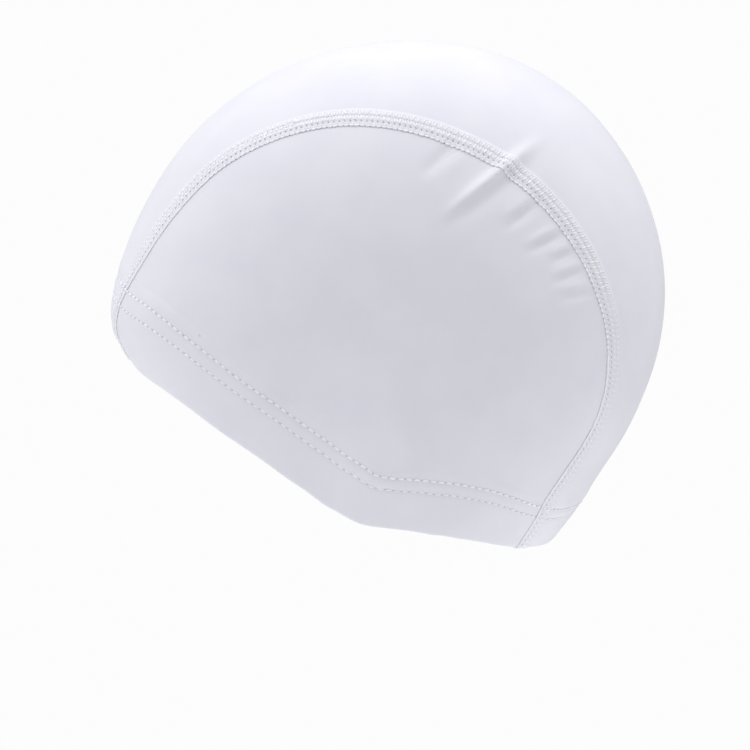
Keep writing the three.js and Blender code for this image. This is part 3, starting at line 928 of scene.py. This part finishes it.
# The knit's low grooves are painted darker, as painted shade, in step with its relief.
tree.links.new(blend_of(tree, stitch, KNIT_SHADE, KNIT), shader.inputs["Base Color"])
relief(tree, shader, stitch, KNIT_RELIEF)

sewing_thread, tree, shader = finish("sewing_thread", 0.55)
shader.inputs["Sheen Weight"].default_value = 0.25
grain_here = placed_group(tree, grain)
tree.links.new(blend_of(tree, grain_here["Height"], THREAD_SHADE, THREAD), shader.inputs["Base Color"])
relief(tree, shader, grain_here["Height"], THREAD_RELIEF)
print("finishes:", [material.name for material in (coated_face, knit_face, sewing_thread)])

# %% [markdown]
# ## The three panels
# The right side is the left one mirrored. Mirroring turns a sheet inside out, so its columns are also laid
# in the opposite order, which turns it back.

# %% Panels
bm = bmesh.new()
add_grid(bm, CENTRE, centre_values)
centre_cloth = finish_cloth(bm, "centre_cloth", "centre_panel", (coated_face, knit_face))

side_grids = ((disc_points, disc_values), (lap_points, lap_values), (hem_points, hem_values))
bm = bmesh.new()
for points, values in side_grids:
    add_grid(bm, points, values)
side_cloth_left = finish_cloth(bm, "side_cloth_left", "side_panel_left", (coated_face, knit_face))

bm = bmesh.new()
for points, values in side_grids:
    add_grid(bm, points[:, ::-1] * (-1, 1, 1), {key: value[:, ::-1] for key, value in values.items()})
side_cloth_right = finish_cloth(bm, "side_cloth_right", "side_panel_right", (coated_face, knit_face))

# %% [markdown]
# ## Sewing threads
# A flat seam is covered by threads: bumps along the cut edge, thin threads across to a row of needle holes,
# and slashes over the lap. Each stitch is a small stretched ball, turned to lie on the cloth. One joined mesh
# holds all stitches of a seam. In front the slashes are short and lie in three rows, further back they are
# long and lie in two, and behind the small tie they sink into the cloth. Near the brow and the nape the bumps
# along the edge lie close together.

# %% Stitches on a sheet
THREAD_SEED = 11
random = np.random.default_rng(THREAD_SEED)


def on_grid(grid, row, column):
    """Places on a grid of points, with the directions along its rows and columns and its outward normal."""
    rows, columns = grid.shape[:2]

    def at(r, c):
        r, c = np.clip(r, 0, rows - 1), np.clip(c, 0, columns - 1)
        i, j = np.minimum(r.astype(int), rows - 2), np.minimum(c.astype(int), columns - 2)
        u, v = (r - i)[:, None], (c - j)[:, None]
        return ((grid[i, j] * (1 - u) + grid[i + 1, j] * u) * (1 - v)
                + (grid[i, j + 1] * (1 - u) + grid[i + 1, j + 1] * u) * v)

    down = unit(at(row + 0.6, column) - at(row - 0.6, column))
    beside = unit(at(row, column + 0.6) - at(row, column - 0.6))
    return at(row, column), down, beside, unit(np.cross(beside, down))


def stitches_on(grid, row, column, turn, sizes, lift):
    """A matrix for each stitch, a ball stretched to sizes (long, wide, thick) and turned from the rows."""
    place, down, beside, normal = on_grid(grid, row, column)
    turn = np.radians(np.broadcast_to(turn, row.shape))[:, None]
    long_way = unit(down * np.cos(turn) - beside * np.sin(turn))
    wide_way = np.cross(normal, long_way)
    centre = place + normal * np.broadcast_to(lift, row.shape)[:, None]
    size = np.broadcast_to(np.stack(np.broadcast_arrays(*sizes), -1), row.shape + (3,))
    matrices = np.zeros((len(row), 4, 4))
    matrices[:, 3, 3] = 1
    axes = (long_way * size[:, :1], wide_way * size[:, 1:2], normal * size[:, 2:], centre)
    for i, axis in enumerate(axes):
        matrices[:, :3, i] = axis * MM
    return matrices


def mirrored(matrices):
    """The same stitches on the right side. One axis of each ball turns round, so it isn't inside out."""
    return np.diag([-1.0, 1, 1, 1]) @ matrices @ np.diag([1.0, -1, 1, 1])


STITCHES_AT_ONCE = 40


def sew(name, matrices):
    """All stitches as one mesh, made a few at a time, because an operator looks through its whole bmesh."""
    whole = bmesh.new()
    for start in range(0, len(matrices), STITCHES_AT_ONCE):
        few = bmesh.new()
        for matrix in matrices[start:start + STITCHES_AT_ONCE]:
            bmesh.ops.create_uvsphere(few, u_segments=6, v_segments=5, radius=1.0,
                                      matrix=Matrix(matrix.tolist()))
        for face in few.faces:
            face.smooth = True
        part = mesh_of(few, "part")
        whole.from_mesh(part)
        bpy.data.meshes.remove(part)
    mesh = mesh_of(whole, name)
    mesh.materials.append(sewing_thread)
    piece = add_piece(name, mesh)
    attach(piece, "root")
    print(name, len(mesh.polygons), "faces")
    return piece


# %% [markdown]
# ## The pattern of the seam's threads
# The tables give each thread's place in one repeat of the pattern: how far along and across, its half
# length, half width and half thickness, its turn away from the seam, and how high its middle lies.

# %% Seam threads
STITCH_COLUMNS = ("along", "across", "long", "wide", "thick", "turn", "lift")
EDGE_STITCHES = table(STITCH_COLUMNS, [
    (0.0, -0.08, 0.84, 0.5, 0.38, 0, -0.1), (0.15, 1.15, 0.62, 0.17, 0.16, 72, 0.02),
    (0.3, 6.95, 0.6, 0.16, 0.14, 8, 0.0)])
LONG_STITCHES = table(STITCH_COLUMNS, [
    (0.1, 3.3, 1.2, 0.36, 0.28, 72, 0.05), (1.1, 3.35, 1.0, 0.2, 0.16, 72, -0.02),
    (0.7, 5.5, 1.1, 0.36, 0.28, 72, 0.05), (1.7, 5.45, 0.9, 0.2, 0.16, 72, -0.02)])
SHORT_STITCHES = table(STITCH_COLUMNS, [
    (0.2, 2.75, 0.72, 0.36, 0.28, 58, 0.06), (1.2, 4.2, 0.72, 0.36, 0.28, 58, 0.06),
    (0.2, 5.7, 0.7, 0.34, 0.26, 58, 0.04), (1.1, 2.9, 0.5, 0.16, 0.15, 58, 0.0),
    (0.2, 4.3, 0.5, 0.16, 0.15, 58, 0.0), (1.2, 5.8, 0.5, 0.16, 0.15, 58, 0.0)])
INNER_STITCHES = table(STITCH_COLUMNS, [
    (0.0, 1.6, 1.5, 0.24, 0.2, 68, 0.0), (1.0, 4.2, 1.6, 0.24, 0.2, 68, 0.0),
    (0.4, 5.9, 0.85, 0.3, 0.3, 0, 0.0)])
CLOSE_STITCHES = table(STITCH_COLUMNS, [(1.0, -0.08, 0.8, 0.48, 0.4, 0, -0.1)])
SHORT_UNTIL, TIE_ANGLE, TIE_FADE = -30.0, 74.0, 5.0
CLOSE_BEFORE, CLOSE_AFTER = -52.0, 96.0
FRONT_HEM_ANGLE, BACK_HEM_ANGLE = -90.0, 150.0
INNER_DEPTH = 1.5
SEAM_MARGIN = 0.8
PLACE_SPREAD, SWELL_SPREAD, TURN_SPREAD = 0.05, 0.07, 4
TIE_COLUMNS, TIE_STITCH, TIE_TURN, TIE_LIFT = [3.4, 5.2], (1.5, 0.34, 0.3), 88, 0.12

EDGE_INDEX = half.shape[1] - 1
body_angle = body[0][:, THREAD_COLUMN]
row_angle = join([np.full(hem_count, FRONT_HEM_ANGLE), body_angle, np.full(hem_count, BACK_HEM_ANGLE)])
tie_row = hem_count + float(np.interp(TIE_ANGLE, body_angle, np.arange(len(body_angle))))


def band_column(across):
    return EDGE_INDEX - np.interp(across, BAND_COLUMNS, np.arange(len(BAND_COLUMNS)))


def seam_stitches(rows, keep, depth=None):
    """All stitches of one pattern along the left seam, where keep says so for the angle."""
    parts = []
    for along, across, long, wide, thick, turn, lift in zip(*rows.values()):
        run = np.arange(SEAM_MARGIN, seam_run[-1] - SEAM_MARGIN, SEAM_PITCH) + along
        run = run + random.normal(0, PLACE_SPREAD, len(run))
        row = np.interp(run, seam_run, np.arange(row_count))
        angle = np.interp(row, np.arange(row_count), row_angle)
        if depth is not None:
            inside = (row > hem_count) & (row < row_count - hem_count)
            row, angle = row[inside], angle[inside]
        row, angle = row[keep(angle)], angle[keep(angle)]
        column = band_column(across)
        at_brow = 1 - ramp(angle, -80.0, -60.0)
        sunk = ramp(angle, TIE_ANGLE, TIE_ANGLE + TIE_FADE) * (across > 2)
        swell = random.normal(1, SWELL_SPREAD, len(row)) * (1 - 0.3 * sunk) * (1 - 0.12 * at_brow)
        lift = lift - 0.12 * sunk - 0.1 * at_brow * (across > 1) if depth is None else -depth
        parts.append(stitches_on(half, row, np.full(len(row), column),
                                 turn + random.normal(0, TURN_SPREAD, len(row)),
                                 (long * swell, wide * swell, thick * swell), lift))
    return join(parts)


def everywhere(angle):
    return np.isfinite(angle)


left_seam = join([
    seam_stitches(EDGE_STITCHES, everywhere),
    seam_stitches(CLOSE_STITCHES, lambda angle: (angle < CLOSE_BEFORE) | (angle > CLOSE_AFTER)),
    seam_stitches(SHORT_STITCHES, lambda angle: angle <= SHORT_UNTIL),
    seam_stitches(LONG_STITCHES, lambda angle: angle > SHORT_UNTIL),
    seam_stitches(INNER_STITCHES, everywhere, INNER_DEPTH),
    stitches_on(half, np.full(2, tie_row), band_column(TIE_COLUMNS), TIE_TURN, TIE_STITCH, TIE_LIFT)])
seam_threads_left = sew("seam_threads_left", left_seam)
seam_threads_right = sew("seam_threads_right", mirrored(left_seam))

# %% [markdown]
# ## Stitches of the hem
# Twin needles sew the hem: two rows of straight stitches outside, each end in a needle hole, and inside one
# thread that zigzags between the rows over the folded edge.

# %% Hem stitches
HEM_STITCHES = ((1.12, 0.34, 0.26), (1.28, 0.42, 0.3))
STITCH_LIFTS = (0.08, 0.18)
LOOPER_STITCH, LOOPER_LEAN, LOOPER_LIFT = (2.45, 0.2, 0.18), 19, 0.12
OUTER_START = hem_count - len(OUTER_HEIGHTS)


def hem_stitches(grid):
    """Stitches on one stretch of hem, whose rows are the grid's."""
    run = hem_run(grid)
    columns = np.arange(len(run))
    parts = []
    middles = np.arange(HEM_PITCH / 2, run[-1], HEM_PITCH)
    for height, sizes, lift in zip(STITCH_ROWS, HEM_STITCHES, STITCH_LIFTS):
        row = np.full(len(middles), float(OUTER_START + OUTER_HEIGHTS.index(height)))
        parts.append(stitches_on(grid, row, np.interp(middles, run, columns),
                                 90 + random.normal(0, 2, len(row)), sizes,
                                 lift + random.normal(0, 0.03, len(row))))
    low, high = (float(INNER_HEIGHTS.index(height)) for height in STITCH_ROWS)
    for shift, lean in ((0.25, LOOPER_LEAN), (0.75, -LOOPER_LEAN)):
        spots = np.arange(HEM_PITCH * shift, run[-1], HEM_PITCH)
        parts.append(stitches_on(grid, np.full(len(spots), (low + high) / 2), np.interp(spots, run, columns),
                                 lean, LOOPER_STITCH, LOOPER_LIFT))
    return join(parts)


side_stitches = hem_stitches(hem_points)
hem_threads = sew("hem_threads", join([
    side_stitches, mirrored(side_stitches), hem_stitches(CENTRE[:hem_count]),
    hem_stitches(CENTRE[::-1, ::-1][:hem_count])]))

# %% [markdown]
# ## Soft studio light
# White light comes from large soft boxes round the cap, strong above it and behind, weaker from the camera's
# side. Each is a broad bright patch of the world's sky, brightest in one direction, so no lamp shows an edge.
# The camera itself sees a plain white backdrop. The floor is a plain pale disc far below.

# %% Light and floor
world = bpy.data.worlds.new("studio")
bpy.context.scene.world = world
world.use_nodes = True
tree = world.node_tree
background = tree.nodes["Background"]
background.inputs["Color"].default_value = (0.98, 0.98, 0.985, 1.0)
SOFTBOXES = [
    ((0, 0, 1), 1.18), ((0, 1, 1), 1.1), ((0, -1, 1), 0.84), ((0, -1, 0), 0.4), ((1, 0, 1), 0.34),
    ((1, -1, 1), 0.13), ((1, 1, 1), 0.2), ((-1, 1, 1), 0.22), ((-1, 1, 0), 0.25), ((-1, -1, 0), 0.5),
    ((-1, -1, 1), 0.12), ((-1, -1, -1), 0.16), ((0, -1, -1), 0.1), ((-1, 1, -1), 0.04)]
SOFTBOX_EDGE = 3.0
BASE_LIGHT = 0.02
here = tree.nodes.new("ShaderNodeTexCoord").outputs["Generated"]
glow = BASE_LIGHT
for direction, strength in SOFTBOXES:
    facing = tree.nodes.new("ShaderNodeVectorMath")
    facing.operation = "DOT_PRODUCT"
    facing.inputs[1].default_value = Vector(direction).normalized()
    tree.links.new(here, facing.inputs[0])
    lobe = math(tree, "POWER", math(tree, "MAXIMUM", facing.outputs["Value"], 0.0), SOFTBOX_EDGE)
    glow = math(tree, "MULTIPLY_ADD", lobe, strength, glow)
camera_ray = tree.nodes.new("ShaderNodeLightPath").outputs["Is Camera Ray"]
tree.links.new(math(tree, "MAXIMUM", camera_ray, math(tree, "MULTIPLY", glow, math(
    tree, "SUBTRACT", 1.0, camera_ray))), background.inputs["Strength"])

FLOOR_HEIGHT, FLOOR_RADIUS = -0.45, 0.9
bm = bmesh.new()
bmesh.ops.create_circle(bm, cap_ends=True, segments=96, radius=FLOOR_RADIUS,
                        matrix=Matrix.Translation((0, 0, FLOOR_HEIGHT)))
floor_mesh = mesh_of(bm, "floor")
floor_finish, tree, shader = finish("floor_finish", 0.9)
shader.inputs["Base Color"].default_value = (0.88, 0.88, 0.88, 1.0)
floor_mesh.materials.append(floor_finish)
floor = add_piece("floor", floor_mesh)
bpy.context.scene.view_settings.view_transform = "Standard"
print("floor at", FLOOR_HEIGHT, "m")
